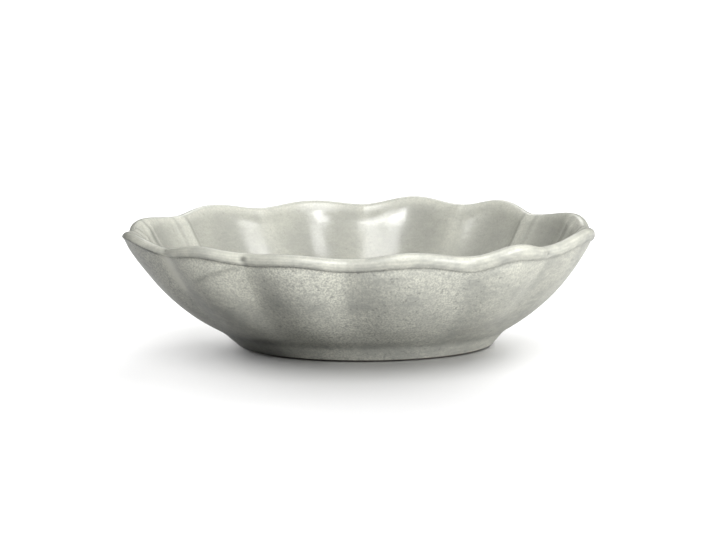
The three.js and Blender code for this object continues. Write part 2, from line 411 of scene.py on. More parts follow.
def dents(spot, width=1.0):
    """Depth in millimetres of each dent, with its shape: 1 in the middle and 0 away from it."""
    for at_angle, at_lip, size, depth in LIP_DENTS:
        aside = (spot.angle - math.radians(at_angle)) * RIM_WIDTH / 2
        along = np.radians(around_the_lip(spot) - at_lip) * LIP_RADIUS
        yield depth, np.exp(-(aside**2 + along**2) / (width * size * MM) ** 2)


def lip_drop(spot):
    at_cusps = from_cusp_to_cusp(LIP_DROP_AT_CUSPS, spot)
    on_lobes = np.array(LIP_DROP_ON_LOBES)[spot.lobe]
    drop = (at_cusps + (on_lobes - at_cusps) * np.sin(np.pi * spot.across) ** 2) * MM
    return drop + sum(size * MM * np.sin(waves * spot.angle + start) for size, waves, start in WOBBLES)


def lip_uneven(spot):
    """Half length and height of each vertex when the seam is lowered or raised and the lip is dented."""
    drop = lip_drop(spot)
    lowered = np.maximum(drop, 0)
    raised = np.maximum(-drop, 0)
    around_lip = around_the_lip(spot)
    wall_top = (seam - wall_control).normalized()
    new_seam_angle = np.degrees(np.arcsin((lip_start.y + raised - lip_centre.y) / LIP_RADIUS))
    up_lip = (around_lip - LIP_SEAM_ANGLE) / (LIP_CREST_ANGLE - LIP_SEAM_ANGLE)
    slid = new_seam_angle + (LIP_CREST_ANGLE - new_seam_angle) * up_lip
    slid = np.radians(np.where(up_lip < 1, slid, around_lip))
    section_radius = np.hypot(spot.half_length - lip_centre.x, spot.height - lip_centre.y)
    lip_weight = lowered * (1 - eased(around_lip, LIP_SEAM_ANGLE, LIP_DROP_ENDS_AT))
    lip_length = lip_centre.x + section_radius * np.cos(slid) - lip_weight * wall_top.x / wall_top.y
    lip_height = lip_centre.y + section_radius * np.sin(slid) - lip_weight
    seam_out = LIP_RADIUS * np.cos(np.radians(new_seam_angle)) - (lip_start.x - lip_centre.x)
    wall_weight = spot.up_wall**SEAM_PULL
    wall_length = spot.half_length + wall_weight * (seam_out - lowered * wall_top.x / wall_top.y)
    wall_height = spot.height + wall_weight * (raised - lowered)
    on_lip = spot.above_seam > -SEAM_SLACK
    new_length = np.where(on_lip, lip_length, wall_length)
    new_height = np.where(on_lip, lip_height, wall_height)
    for depth, shape in dents(spot):
        new_length = new_length - np.where(on_lip & (around_lip > LIP_UNDERSIDE), shape * depth * MM, 0)
    return new_length, new_height


print(len(LIP_DENTS), "dents in the lip")

# %% [markdown]
# Two more traces of the hands are on the outer wall. On the lobe at the left in front the clay was folded
# over, which left a shallow step that drops away from a cusp. And the wall is never quite even, so broad
# low swellings are spread over it, and the long sides' lobes are a little fuller halfway up. A sculpt
# brush could draw all this, but a formula repeats it exactly. It only adds to the wall, as the clay lies
# close under the glaze. Last, the lip flares out a little more at the left end.

# %% Fold and swellings of the wall
FOLD_FROM = 221.5
FOLD_TO = 241
FOLD_FADES_IN = 4.5
FOLD_FADES_OUT = 2
FOLD_TOP = 40.6 * MM
FOLD_FALL = 0.155 * MM
FOLD_FALLS_FROM = 240.5
FOLD_FALL_POWER = 1.4
FOLD_STEP = 0.4 * MM
FOLD_STEP_EDGE = (-0.7 * MM, 0.5 * MM)
FOLD_STEP_REACH = 2.5 * MM
SWELLING = 0.12 * MM
SWELLING_WAVES = [(13, 5 * MM, 0), (22, -7 * MM, 2)]
LEFT_TIP = (190, 11)
TIP_FLARE = 1.3 * MM
LOBE_FULLNESS = 1.3 * MM
LONG_SIDES = (0.3, 0.7)
FACE_SLACK = 0.2 * MM
FACE_BAND = (0.02, 0.25, 0.9, 1)


def outer_face(spot):
    """1 on the outer face of the wall, fading out at the foot and the lip, and 0 on the face under it."""
    wall_reach = np.interp(spot.height, [here.y for here in wall], [here.x for here in wall])
    return (spot.half_length > wall_reach - FACE_SLACK) * between(spot.up_wall, *FACE_BAND)


def fold_line(places, turn):
    """Height above the fold's edge, and how clearly the fold shows there, from 0 to 1."""
    edge = FOLD_TOP - FOLD_FALL * np.clip(FOLD_FALLS_FROM - turn, 0, None) ** FOLD_FALL_POWER
    shows = between(turn, FOLD_FROM, FOLD_FROM + FOLD_FADES_IN, FOLD_TO - FOLD_FADES_OUT, FOLD_TO)
    return places[:, 2] - edge, shows


def hand_traces(places, spot):
    above_fold, shows = fold_line(places, spot.turn)
    step = FOLD_STEP * shows * np.exp(-np.clip(above_fold, 0, None) / FOLD_STEP_REACH)
    step = step * eased(above_fold, *FOLD_STEP_EDGE)
    waves = 0
    for turns, height_of_wave, start in SWELLING_WAVES:
        waves = waves + np.sin(turns * spot.angle + places[:, 2] / height_of_wave + start)
    return step + SWELLING * (1 + waves / 2)


def fuller_lobes(spot):
    along_the_sides = eased(np.abs(np.sin(spot.angle)), *LONG_SIDES)
    return LOBE_FULLNESS * np.sin(np.pi * spot.across) ** 2 * np.sin(np.pi * spot.up_wall) * along_the_sides


print("fold of", round(FOLD_STEP / MM, 1), "mm on one lobe")

# %% [markdown]
# The look of a glaze depends on how thick it lies. It runs off edges, which turn pale, and gathers in
# hollows, which turn dark. Ambient occlusion could guess this, but the section says it exactly, so each
# shell carries three painted values for the materials. The first is 1 where glaze gathers and also
# carries painted shade, the second is 1 where it runs off and also carries painted highlights, and grainy
# is less than 1 where the grain is smoother. On the outer coat the glaze gathers in the crease above the
# foot. Low on the wall all round it gathers a little too, with painted shade, and painted shade alone
# darkens the lower wall and the foot at the left, the seam under the lip, the dents, the step of the fold
# and one side of each lobe. A stretch, in degrees round the bowl or in shares of the wall's height,
# says where it begins, is full, starts to fade and has gone. A hump has a middle and a half width.

# %% Where the outer glaze gathers, and where shade is painted
ALL_ROUND = (-2, -1, 361, 362)
LOW_SHADE_AND_POOLS = [
    # faint darkening low on the wall all round: glaze gathered there, and painted shade
    (0.03, ALL_ROUND, 16 * MM),
    # painted shade low on the wall at the left
    (0.25, (195, 215, 225, 275), 16 * MM),
    # painted shade on the left end of the foot
    (0.5, (186, 200, 226, 246), 5 * MM),
]
CREASE_POOL = 0.4
CREASE_POOL_REACH = 1.1 * MM
SEAM_SHADOW = 0.35
SEAM_SHADOW_REACH = 0.5 * MM
LEFT_SEAM = (181, 186, 210, 218)
LEFT_SEAM_SHADOW = 0.6
LIP_EDGE = 0.8 * MM
LIP_POOL = 0.2
LIP_BRUSH_POOL = 0.07
SHADED_FLANK = (0.2, 0.15)
SHADED_FLANK_WALL = (0.1, 0.4, 0.5, 0.9)
SHADED_FLANK_DARKNESS = 0.2
DENT_SHADE = 0.9
DENT_SHADE_WIDTH = 0.6


def on_the_lip(spot):
    return eased(spot.above_seam, 0, LIP_EDGE)


def outer_pooled_and_shade(spot):
    dotted = 0.56 + 0.44 * np.sin(47 * spot.angle) * np.sin(31 * spot.angle + 1)
    pooled_and_shade = CREASE_POOL * dotted * hump(spot.height, FOOT_HEIGHT, CREASE_POOL_REACH)
    for strength, stretch, reach in LOW_SHADE_AND_POOLS:
        low_down = 1 - eased(spot.height, FOOT_HEIGHT, FOOT_HEIGHT + reach)
        pooled_and_shade += strength * between(spot.turn, *stretch) * low_down
    # painted shadow: a dotted dark line in the seam under the lip, darker on the lobe at the left end
    seam_shadow = SEAM_SHADOW * dotted + LEFT_SEAM_SHADOW * between(spot.turn, *LEFT_SEAM)
    pooled_and_shade += seam_shadow * hump(spot.above_seam, 0, SEAM_SHADOW_REACH)
    lip_brush = np.sin(6 * spot.above_seam / MM + 2.5 * np.sin(4 * spot.angle))
    pooled_and_shade += on_the_lip(spot) * (LIP_POOL + LIP_BRUSH_POOL * lip_brush)
    # painted shade on the side of each lobe turned away from the light, halfway up the wall
    pooled_and_shade += SHADED_FLANK_DARKNESS * hump(spot.across, *SHADED_FLANK) * between(spot.up_wall, *SHADED_FLANK_WALL)
    # painted shade in the dents of the lip, darker in the deeper dents
    dent_shade = sum(depth**2 * shape for depth, shape in dents(spot, DENT_SHADE_WIDTH))
    return pooled_and_shade + DENT_SHADE * dent_shade * (spot.above_seam > 0)


print(len(LOW_SHADE_AND_POOLS), "pools low on the outer wall")

# %% [markdown]
# The outer glaze runs off the crest of the lip, which turns pale. Painted highlights lighten the side of
# each lobe that faces the light, a pale, smooth stripe below the pinched cusp at the left, the wall beside
# the next cusp, the wall high up at the left and the wall low down in front. The lip, the right end and
# the wall beside the pinch show less grain.

# %% Where the outer glaze runs thin and smooth, and where highlights are painted
CREST_THIN = 0.3
CREST_RISE = (lip_centre.y + 0.6 * MM, lip_centre.y + 2.2 * MM)
SHEEN_STRIPE = (CUSP_ANGLES[7] + 0.8, 2.8)
SHEEN_STRIPE_WALL = (0.5, 0.75)
SHEEN_STRIPE_TOP = 0.3 * MM
SHEEN_STRIPE_HIGHLIGHT = 1.6
SHEEN_STRIPE_SMOOTH = 0.9
SHEEN_STRIPE_CLEAR = 0.8
LOBE_SIDE = (0.86, 0.13)
LOBE_SIDE_WALL = (0.3, 0.7)
LOBE_SIDE_HIGHLIGHT = 0.4
NEXT_CUSP = (CUSP_ANGLES[8] - 0.8, 3)
NEXT_CUSP_WALL = (0.4, 0.7)
NEXT_CUSP_HIGHLIGHT = 0.9
UPPER_LEFT = (216, 224, 256, 270)
UPPER_LEFT_WALL = (0.5, 0.8)
UPPER_LEFT_LIGHT = 0.75
UPPER_LEFT_GAP = (0.2, 0.14)
UPPER_LEFT_GAP_DEPTH = 0.7
LOWER_FRONT = (228, 243, 280, 300)
LOWER_FRONT_WALL = (0.02, 0.12, 0.3, 0.6)
LOWER_FRONT_LIGHT = 0.65
RIGHT_END = (0.4, 0.8)
RIGHT_END_SMOOTH = 0.4
BESIDE_PINCH = (212, 220, 240, 254)
BESIDE_PINCH_SMOOTH = 0.3
LIP_SMOOTH = 0.7


# painted highlight: a pale sheen stripe down the wall below the pinched cusp at the left
def sheen_stripe(spot):
    return hump(spot.turn, *SHEEN_STRIPE) * eased(spot.up_wall, *SHEEN_STRIPE_WALL) * (spot.above_seam < SHEEN_STRIPE_TOP)


def outer_thin_and_lit(spot):
    streaks = 0.85 + 0.15 * np.sin(5 * spot.above_seam / MM + 2 * np.sin(5 * spot.angle))
    thin_and_lit = CREST_THIN * streaks * eased(spot.height, *CREST_RISE)
    # painted highlight of the stripe below the pinched cusp
    thin_and_lit += SHEEN_STRIPE_HIGHLIGHT * sheen_stripe(spot)
    # painted light on the upper wall at the left, with a gap on the shaded side of each lobe
    gap = 1 - UPPER_LEFT_GAP_DEPTH * hump(spot.across, *UPPER_LEFT_GAP)
    upper_left = between(spot.turn, *UPPER_LEFT) * gap * eased(spot.up_wall, *UPPER_LEFT_WALL)
    on_wall = UPPER_LEFT_LIGHT * upper_left
    # painted highlight on the side of each lobe that faces the light
    on_wall += LOBE_SIDE_HIGHLIGHT * hump(spot.across, *LOBE_SIDE) * eased(spot.up_wall, *LOBE_SIDE_WALL)
    # painted highlight on the wall beside the cusp at the left in front
    on_wall += NEXT_CUSP_HIGHLIGHT * hump(spot.turn, *NEXT_CUSP) * eased(spot.up_wall, *NEXT_CUSP_WALL)
    # painted light on the lower wall in front
    lower_front = between(spot.turn, *LOWER_FRONT) * between(spot.up_wall, *LOWER_FRONT_WALL)
    return thin_and_lit + on_wall * (spot.above_seam < 0) + LOWER_FRONT_LIGHT * lower_front


def outer_grainy(spot):
    smooth_end = RIGHT_END_SMOOTH * eased(np.cos(spot.angle), *RIGHT_END)
    beside_pinch = BESIDE_PINCH_SMOOTH * between(spot.turn, *BESIDE_PINCH)
    grainy = (1 - smooth_end - beside_pinch) * (1 - LIP_SMOOTH * on_the_lip(spot))
    return grainy - SHEEN_STRIPE_SMOOTH * sheen_stripe(spot)


print("pale stripe at", SHEEN_STRIPE[0], "degrees")

# %% [markdown]
# Inside, the glaze gathers on the floor and in the flutes, and runs off the lip and the ribs. The pale
# lines of the ribs, partly thin glaze and partly painted highlight, are clearest at the two tips and faint
# along the sides. Painted shade lays a dark line in the hollow beside each rib, and each slim rib near a
# tip has a dark crest between two pale lines.

# %% Where the inner glaze gathers and runs thin, with painted shade and highlights
TIPS = (0.93, 0.985)
AWAY_FROM_TIPS = 0.45
ALONG_SIDES = 0.25
FLOOR_POOL = 0.5
FLOOR_POOL_REACH = 8 * MM
RIM_THIN_BELOW = 1 * MM
TIP_THIN_BELOW = 3.5 * MM
RIM_THIN_ABOVE = 1.6 * MM
FLUTE_WALL = (0.05, 0.3)
FLUTE_POOL = 0.34
FLUTE_EDGE = (0, 0.12)
FLUTE_EDGE_THIN = 0.1
RIB_TOP = (0, 0.05)
RIB_EDGE = (RIB_HALF_SHARE, 0.016)
RIB_SECOND_EDGE = (2.5 * RIB_HALF_SHARE, 0.014)
RIB_EDGE_PALE = 0.5
RIB_HOLLOW = (1.7 * RIB_HALF_SHARE, 0.02)
RIB_HOLLOW_SHADE = 0.6
TIP_LINE_ASIDE = 2.4
TIP_LINE_HALF_TURN = 1.0
TIP_LINE_PALE = 0.8
TIP_CREST_HALF_TURN = 0.6
TIP_CREST_POOL = 0.5


def at_tips(angle):
    return eased(np.abs(np.cos(angle)), *TIPS)


def clearness(angle):
    """1 at the two tips, and less away from them."""
    return AWAY_FROM_TIPS + (1 - AWAY_FROM_TIPS) * at_tips(angle)


def inner_paint(spot):
    """The values for gathered glaze with painted shade, and for thin glaze with painted light, on a piece
    without ribs.
    """
    pooled_and_shade = FLOOR_POOL * (1 - eased(spot.height, FLOOR_HEIGHT, FLOOR_HEIGHT + FLOOR_POOL_REACH))
    thin_from = lip_centre.y - RIM_THIN_BELOW - TIP_THIN_BELOW * at_tips(spot.angle)
    thin_and_lit = eased(spot.height, thin_from, lip_centre.y + RIM_THIN_ABOVE) * clearness(spot.angle)
    return pooled_and_shade, thin_and_lit


def rib_paint(spot):
    """Gathered glaze and painted shade, thin glaze and painted highlights, that the ribs and flutes add to
    it.
    """
    ends = at_ends(spot.angle)
    in_flutes = eased(spot.up_wall, *FLUTE_WALL) * (1 - eased(spot.height, RIB_FADE_FROM, RIB_FADE_TO))
    on_wall = spot.up_wall * (spot.half_length > FOOT_HALF_LENGTH) * clearness(spot.angle)
    on_wall = on_wall * (ALONG_SIDES + (1 - ALONG_SIDES) * ends)
    rib_edges = hump(spot.from_cusp, *RIB_EDGE) + ends * hump(spot.from_cusp, *RIB_SECOND_EDGE)
    tip_lines = tip_rib(spot.turn + TIP_LINE_ASIDE, TIP_LINE_HALF_TURN)
    tip_lines = tip_lines + tip_rib(spot.turn - TIP_LINE_ASIDE, TIP_LINE_HALF_TURN)
    pooled_and_shade = FLUTE_POOL * np.sin(np.pi * spot.across) ** 2 * in_flutes
    # painted shade in the hollow beside each rib
    pooled_and_shade += RIB_HOLLOW_SHADE * hump(spot.from_cusp, *RIB_HOLLOW) * on_wall
    pooled_and_shade += TIP_CREST_POOL * tip_rib(spot.turn, TIP_CREST_HALF_TURN) * spot.up_wall
    thin_and_lit = FLUTE_EDGE_THIN * hump(spot.from_cusp, *FLUTE_EDGE) * in_flutes
    # pale rib tops and edges: partly thin glaze, partly painted highlight
    thin_and_lit += (hump(spot.from_cusp, *RIB_TOP) + RIB_EDGE_PALE * rib_edges) * on_wall
    # pale lines beside the slim ribs at the tips: partly thin glaze, partly painted highlight
    thin_and_lit += TIP_LINE_PALE * tip_lines * spot.up_wall
    return pooled_and_shade, thin_and_lit


print("slim ribs at", TIP_RIBS, "degrees")

# %% [markdown]
# Now the steps come together. A shell is measured while it is still round, then painted, made uneven if
# it has the lip on it, pressed into the oval and flared at the left tip. The outer coat takes the fold
# and the swellings last, because they are placed by their true height.

# %% Press a shell and paint it
SMOOTH_UP_TO = math.radians(50)
OUTER_FLARE = (28 * MM, 42 * MM)
INNER_FLARE = (lip_centre.y + 0.4 * MM, lip_centre.y + 2.4 * MM)
FOLD_SHADOW = 0.45
FOLD_SHADOW_REACH = 0.9 * MM


def paint(piece, name, values):
    layer = piece.data.attributes.new(name, "FLOAT", "POINT")
    layer.data.foreach_set("value", np.clip(values, 0, 1).astype(np.float32))


def press(piece, outside=False, ribbed=False):
    mesh = piece.data
    points = np.empty(len(mesh.vertices) * 3, dtype=np.float32)
    mesh.vertices.foreach_get("co", points)
    spot = measured(points.reshape(-1, 3).astype(float))
    half_length, height = spot.half_length, spot.height
    if outside:
        # the painted highlight of the stripe also clears the darkening there
        pooled_and_shade = outer_pooled_and_shade(spot) * (1 - SHEEN_STRIPE_CLEAR * sheen_stripe(spot))
        thin_and_lit = outer_thin_and_lit(spot)
        grainy = outer_grainy(spot)
        half_length, height = lip_uneven(spot)
    else:
        pooled_and_shade, thin_and_lit = inner_paint(spot)
        grainy = np.ones(len(spot.angle))
    if ribbed:
        rib_pooled_and_shade, rib_thin_and_lit = rib_paint(spot)
        pooled_and_shade += rib_pooled_and_shade
        thin_and_lit += rib_thin_and_lit
    moved = pressed(half_length, height, spot, ribbed)
    outward = np.stack([np.cos(spot.angle) / RIM_LENGTH, np.sin(spot.angle) / RIM_WIDTH], axis=1)
    outward = outward / np.linalg.norm(outward, axis=1, keepdims=True)
    flare_from, flare_to = OUTER_FLARE if outside else INNER_FLARE
    flare = TIP_FLARE * hump(spot.turn, *LEFT_TIP) * eased(height, flare_from, flare_to)
    moved[:, :2] += outward * flare[:, None]
    if outside:
        face = outer_face(spot)
        above_fold, shows = fold_line(moved, spot.turn)
        # painted shadow along the edge of the fold's step
        pooled_and_shade += FOLD_SHADOW * shows * hump(above_fold, 0, FOLD_SHADOW_REACH) * (face > 0)
        added = hand_traces(moved, spot) + fuller_lobes(spot)
        moved[:, :2] += outward * (face * added)[:, None]
    mesh.vertices.foreach_set("co", moved.astype(np.float32).ravel())
    mesh.update()
    paint(piece, "pooled_and_shade", pooled_and_shade)
    paint(piece, "thin_and_lit", thin_and_lit)
    paint(piece, "grainy", grainy)
    deselect_everything()
    piece.select_set(True)
    bpy.context.view_layer.objects.active = piece
    bpy.ops.object.shade_smooth_by_angle(angle=SMOOTH_UP_TO)
    print(piece.name, "is", in_mm(moved.max(axis=0) - moved.min(axis=0)), "mm")


# %% [markdown]
# The outer glaze is the piece that the eye meets first: the scalloped wall, the groove under the lip and
# the lip itself. It is a closed skin half a millimetre thick, as on the real bowl.

# %% Outer glaze
STEPS_AROUND_LOBE = 40
outer_glaze = spun("outer_glaze_coat", outer_section, STEPS_AROUND_LOBE)
press(outer_glaze, outside=True)

# %% [markdown]
# The inner glaze covers the floor, the flutes and the ribs between them. It needs as many steps round a
# lobe as the outer glaze, because the two coats share their edge on the crest of the lip.

# %% Inner glaze
inner_glaze = spun("inner_glaze_coat", inner_section, STEPS_AROUND_LOBE)
press(inner_glaze, ribbed=True)

# %% [markdown]
# Under the bowl the foot is a low ring of bare clay with a glazed hollow inside it. The edges of the ring
# are rounded by the sponge that wiped the glaze off, so it meets the table a little inside its outline.

# %% Foot ring and the glaze in its hollow
STEPS_AROUND_FOOT = 20
FOOT_EDGE_ROUND = 0.6 * MM
FOOT_UNDERCUT = 2.9 * MM
FOOT_CORNER_INSET = 0.2 * MM
INNER_ROUND_STEPS = 4
OUTER_ROUND_STEPS = 6
HOLLOW_STEPS = 6
HOLLOW_EDGE_STEPS = 3

recess_clay = RECESS_HEIGHT + GLAZE_THICKNESS
stand_inner = FOOT_HALF_LENGTH - FOOT_FACE_WIDTH
foot_top = outer_clay[0]


def on_foot_inside(height):
    return Vector((stand_inner - FOOT_INNER_SLOPE * height, height))


inner_corner = Vector((stand_inner, 0))
inner_stand = Vector((stand_inner + FOOT_EDGE_ROUND, 0))
inner_round = soft_curve(on_foot_inside(FOOT_EDGE_ROUND), inner_corner, inner_stand, INNER_ROUND_STEPS)
outer_stand = Vector((FOOT_HALF_LENGTH - FOOT_UNDERCUT, 0))
outer_corner = Vector((FOOT_HALF_LENGTH - FOOT_CORNER_INSET, 0))
outer_round = soft_curve(outer_stand, outer_corner, glaze_stop, OUTER_ROUND_STEPS)
hollow_stop = on_foot_inside(GLAZE_STOP_HEIGHT)
hollow_top = on_foot_inside(recess_clay)
foot_section = inner_round + outer_round + [foot_top, hollow_top, hollow_stop, inner_round[0]]
foot_clay = spun("foot_ring_clay", foot_section, STEPS_AROUND_FOOT)
press(foot_clay)

hollow_corner = Vector((hollow_top.x - GLAZE_THICKNESS, RECESS_HEIGHT))
hollow_section = straight(Vector((0, RECESS_HEIGHT)), hollow_corner, HOLLOW_STEPS)
hollow_section += straight(hollow_corner, hollow_stop, HOLLOW_EDGE_STEPS)[1:]
hollow_section += [hollow_top, Vector((0, recess_clay))]
hollow_glaze = spun("hollow_glaze_coat", hollow_section, STEPS_AROUND_FOOT)
press(hollow_glaze)

# %% [markdown]
# The coil of clay inside the lip lies under the glaze everywhere, but it has to follow the unevenness of
# the coat, so it is made again here. The clay of the wall keeps its solid from the frame.

# %% Clay of the lip
CLAY_INNER_LIP_STEPS = 5
lip_clay_outside = outer_clay[CLAY_WALL_STEPS:]
lip_clay_inside = arc(
    lip_centre, LIP_RADIUS - GLAZE_THICKNESS, LIP_CREST_ANGLE, LIP_INNER_ANGLE, CLAY_INNER_LIP_STEPS
)
lip_section = lip_clay_outside + lip_clay_inside[1:] + [lip_clay_outside[0]]
lip_clay = spun("lip_roll_clay", lip_section, STEPS_AROUND_FOOT)
press(lip_clay, outside=True)

# %% [markdown]
# Glaze, first part: the pattern that both glazes share. A stoneware glaze isn't one colour: soft clouds
# where it was brushed on twice, a fine grain from the melt, and dark specks of iron. Noises at four
# scales give these, two of them for the clouds. They are put into one node group, so that each glaze can
# mix them in its own amounts.

# %% Node group for the melted pattern
CLOUD_SCALE = 75
CLOUD_WEIGHT = 0.6
BLOTCH_SCALE = 260
BLOTCH_WEIGHT = 0.4
BLOTCH_STRETCH = (1, 1, 2.5)
CLOUD_EDGES = (0.33, 0.67)
GRAIN_SCALE = 1300
GRAIN_EDGES = (0.36, 0.64)
SPECK_SCALE = 620
SPECK_EDGES = (0.58, 0.72)


def feed(tree, socket, value):
    """A number or a colour is set on the socket, and the output of another node is linked to it."""
    if isinstance(value, (int, float, tuple)):
        socket.default_value = value
    else:
        tree.links.new(value, socket)


def new_node(tree, kind, inputs=None, **settings):
    node = tree.nodes.new("ShaderNode" + kind)
    for setting, value in settings.items():
        setattr(node, setting, value)
    for socket, value in (inputs or {}).items():
        feed(tree, node.inputs[socket], value)
    return node


def new_group(name, inputs, outputs):
    tree = bpy.data.node_groups.new(name, "ShaderNodeTree")
    for in_out, sockets in (("INPUT", inputs), ("OUTPUT", outputs)):
        for socket, kind in sockets.items():
            tree.interface.new_socket(socket, in_out=in_out, socket_type="NodeSocket" + kind)
    return tree, tree.nodes.new("NodeGroupInput").outputs, tree.nodes.new("NodeGroupOutput").inputs


def noise(tree, vector, scale, detail, roughness):
    inputs = {"Vector": vector, "Scale": scale, "Detail": detail, "Roughness": roughness}
    return new_node(tree, "TexNoise", inputs).outputs["Fac"]


def to_range(tree, value, from_low, from_high, to_low=0, to_high=1):
    inputs = {"Value": value, "From Min": from_low, "From Max": from_high}
    inputs |= {"To Min": to_low, "To Max": to_high}
    return new_node(tree, "MapRange", inputs, interpolation_type="SMOOTHSTEP").outputs["Result"]


def math_node(tree, operation, first, second):
    return new_node(tree, "Math", {0: first, 1: second}, operation=operation).outputs["Value"]


def mixed(tree, share, first, second):
    return new_node(tree, "Mix", {0: share, 6: first, 7: second}, data_type="RGBA").outputs[2]


melt, melt_in, melt_out = new_group(
    "melted_pattern", {"Vector": "Vector"}, {"Clouds": "Float", "Grain": "Float", "Specks": "Float"}
)
place = melt_in["Vector"]
stretched = new_node(melt, "VectorMath", {0: place, 1: BLOTCH_STRETCH}, operation="MULTIPLY")
clouds = noise(melt, place, CLOUD_SCALE, detail=4, roughness=0.6)
blotches = noise(melt, stretched.outputs["Vector"], BLOTCH_SCALE, detail=3, roughness=0.6)
cloud_part = math_node(melt, "MULTIPLY", clouds, CLOUD_WEIGHT)
blotch_part = math_node(melt, "MULTIPLY", blotches, BLOTCH_WEIGHT)
cloudy = math_node(melt, "ADD", cloud_part, blotch_part)
grain = noise(melt, place, GRAIN_SCALE, detail=2, roughness=0.7)
specks = noise(melt, place, SPECK_SCALE, detail=2, roughness=0.5)
feed(melt, melt_out["Clouds"], to_range(melt, cloudy, *CLOUD_EDGES))
feed(melt, melt_out["Grain"], to_range(melt, grain, *GRAIN_EDGES))
feed(melt, melt_out["Specks"], to_range(melt, specks, *SPECK_EDGES))
print("node group:", melt.name)

# %% [markdown]
# Glaze, second part: the colour. The body colour of the glaze is varied by the clouds, turns pale where
# it lies thin over the clay and where highlights are painted, takes the grain and the specks, and goes
# dark where it has pooled and where shade is painted.

# %% Node group for the colour of a glaze
GRAIN_DEPTH = 0.75
SPECK_DEPTH = 0.35
POOL_AND_SHADE_DEPTH = 0.75

tint, tint_in, tint_out = new_group(
    "glaze_colour",
    {"Body": "Color", "Shade": "Color", "Pale colour": "Color", "Dark colour": "Color", "Clouds": "Float",
     "Grain": "Float", "Specks": "Float", "Pooled and shade": "Float", "Thin and lit": "Float"},
    {"Colour": "Color"},
)
shaded = mixed(tint, tint_in["Clouds"], tint_in["Body"], tint_in["Shade"])
thinned_and_lit = mixed(tint, tint_in["Thin and lit"], shaded, tint_in["Pale colour"])
grain_share = math_node(tint, "MULTIPLY", tint_in["Grain"], GRAIN_DEPTH)
grained = mixed(tint, grain_share, thinned_and_lit, tint_in["Shade"])
speck_share = math_node(tint, "MULTIPLY", tint_in["Specks"], SPECK_DEPTH)
specked = mixed(tint, speck_share, grained, tint_in["Dark colour"])
pool_and_shade_share = math_node(tint, "MULTIPLY", tint_in["Pooled and shade"], POOL_AND_SHADE_DEPTH)
feed(tint, tint_out["Colour"], mixed(tint, pool_and_shade_share, specked, tint_in["Dark colour"]))
print("node group:", tint.name)

# %% [markdown]
# Glaze, third part: the materials. The groups give colours, and the shader stays in each material: a
# Principled BSDF with a low roughness for the glassy gloss. The painted values come in as attributes:
# grainy weakens the grain and the specks, as on the smooth lip, and the value for thin glaze and painted
# highlights changes the gloss as well as the colour. A faint bump keeps the reflections from being as
# straight as on machine-made glass.

# %% Glaze materials
THIN_AND_LIT_DEPTH = 0.8
FULLY_THIN_AND_LIT = 0.7
GLAZE_BUMP = 0.08
GLAZE_BUMP_HEIGHT = 0.4 * MM


def attribute(tree, name):
    return new_node(tree, "Attribute", attribute_type="GEOMETRY", attribute_name=name).outputs["Fac"]


def new_material(name, shader_kind="BsdfPrincipled"):
    material = bpy.data.materials.new(name)
    material.use_nodes = True
    tree = material.node_tree
    tree.nodes.clear()
    shader = new_node(tree, shader_kind)
    new_node(tree, "OutputMaterial", {"Surface": shader.outputs["BSDF"]})
    return material, tree, shader.inputs


def bumped(tree, shader, height, strength, distance):
    bump = new_node(tree, "Bump", {"Height": height, "Strength": strength, "Distance": distance})
    feed(tree, shader["Normal"], bump.outputs["Normal"])


def glaze(name, colours, clouds, grain, specks, rough, thin_and_lit_rough, refraction):
    material, tree, shader = new_material(name)
    place = new_node(tree, "TexCoord").outputs["Object"]
    pattern = new_node(tree, "Group", {"Vector": place}, node_tree=melt).outputs
    thin_and_lit = attribute(tree, "thin_and_lit")
    grainy = attribute(tree, "grainy")
    inputs = {socket: (*colour, 1) for socket, colour in colours.items()}
    inputs["Clouds"] = math_node(tree, "MULTIPLY", pattern["Clouds"], clouds)
    for socket, amount in (("Grain", grain), ("Specks", specks)):
        part = math_node(tree, "MULTIPLY", pattern[socket], amount)
        inputs[socket] = math_node(tree, "MULTIPLY", part, grainy)
    inputs["Pooled and shade"] = attribute(tree, "pooled_and_shade")
    inputs["Thin and lit"] = math_node(tree, "MULTIPLY", thin_and_lit, THIN_AND_LIT_DEPTH)
    tinted = new_node(tree, "Group", inputs, node_tree=tint)
    feed(tree, shader["Base Color"], tinted.outputs["Colour"])
    feed(tree, shader["Roughness"], to_range(tree, thin_and_lit, 0, FULLY_THIN_AND_LIT, rough, thin_and_lit_rough))
    feed(tree, shader["IOR"], refraction)
    bumped(tree, shader, pattern["Clouds"], GLAZE_BUMP, GLAZE_BUMP_HEIGHT)
    return material


OUTER_COLOURS = {
    "Body": (0.60, 0.60, 0.52),
    "Shade": (0.32, 0.324, 0.297),
    "Pale colour": (0.75, 0.75, 0.65),
    "Dark colour": (0.085, 0.089, 0.088),
}
INNER_COLOURS = {
    "Body": (0.47, 0.47, 0.408),
    "Shade": (0.34, 0.343, 0.31),
    "Pale colour": (0.74, 0.74, 0.65),
    "Dark colour": (0.17, 0.173, 0.16),
}
outer_finish = glaze(
    "outer_speckled_glaze", OUTER_COLOURS,
    clouds=0.8, grain=1.0, specks=1.0, rough=0.36, thin_and_lit_rough=0.32, refraction=1.4,
)
inner_finish = glaze(
    "inner_poured_glaze", INNER_COLOURS,
    clouds=0.6, grain=0.5, specks=0.4, rough=0.22, thin_and_lit_rough=0.24, refraction=1.72,
)
print("glazes:", outer_finish.name, inner_finish.name)

# %% [markdown]
# Bare fired clay is matt and slightly sandy. Noise in the colour and in a small bump is all it needs.

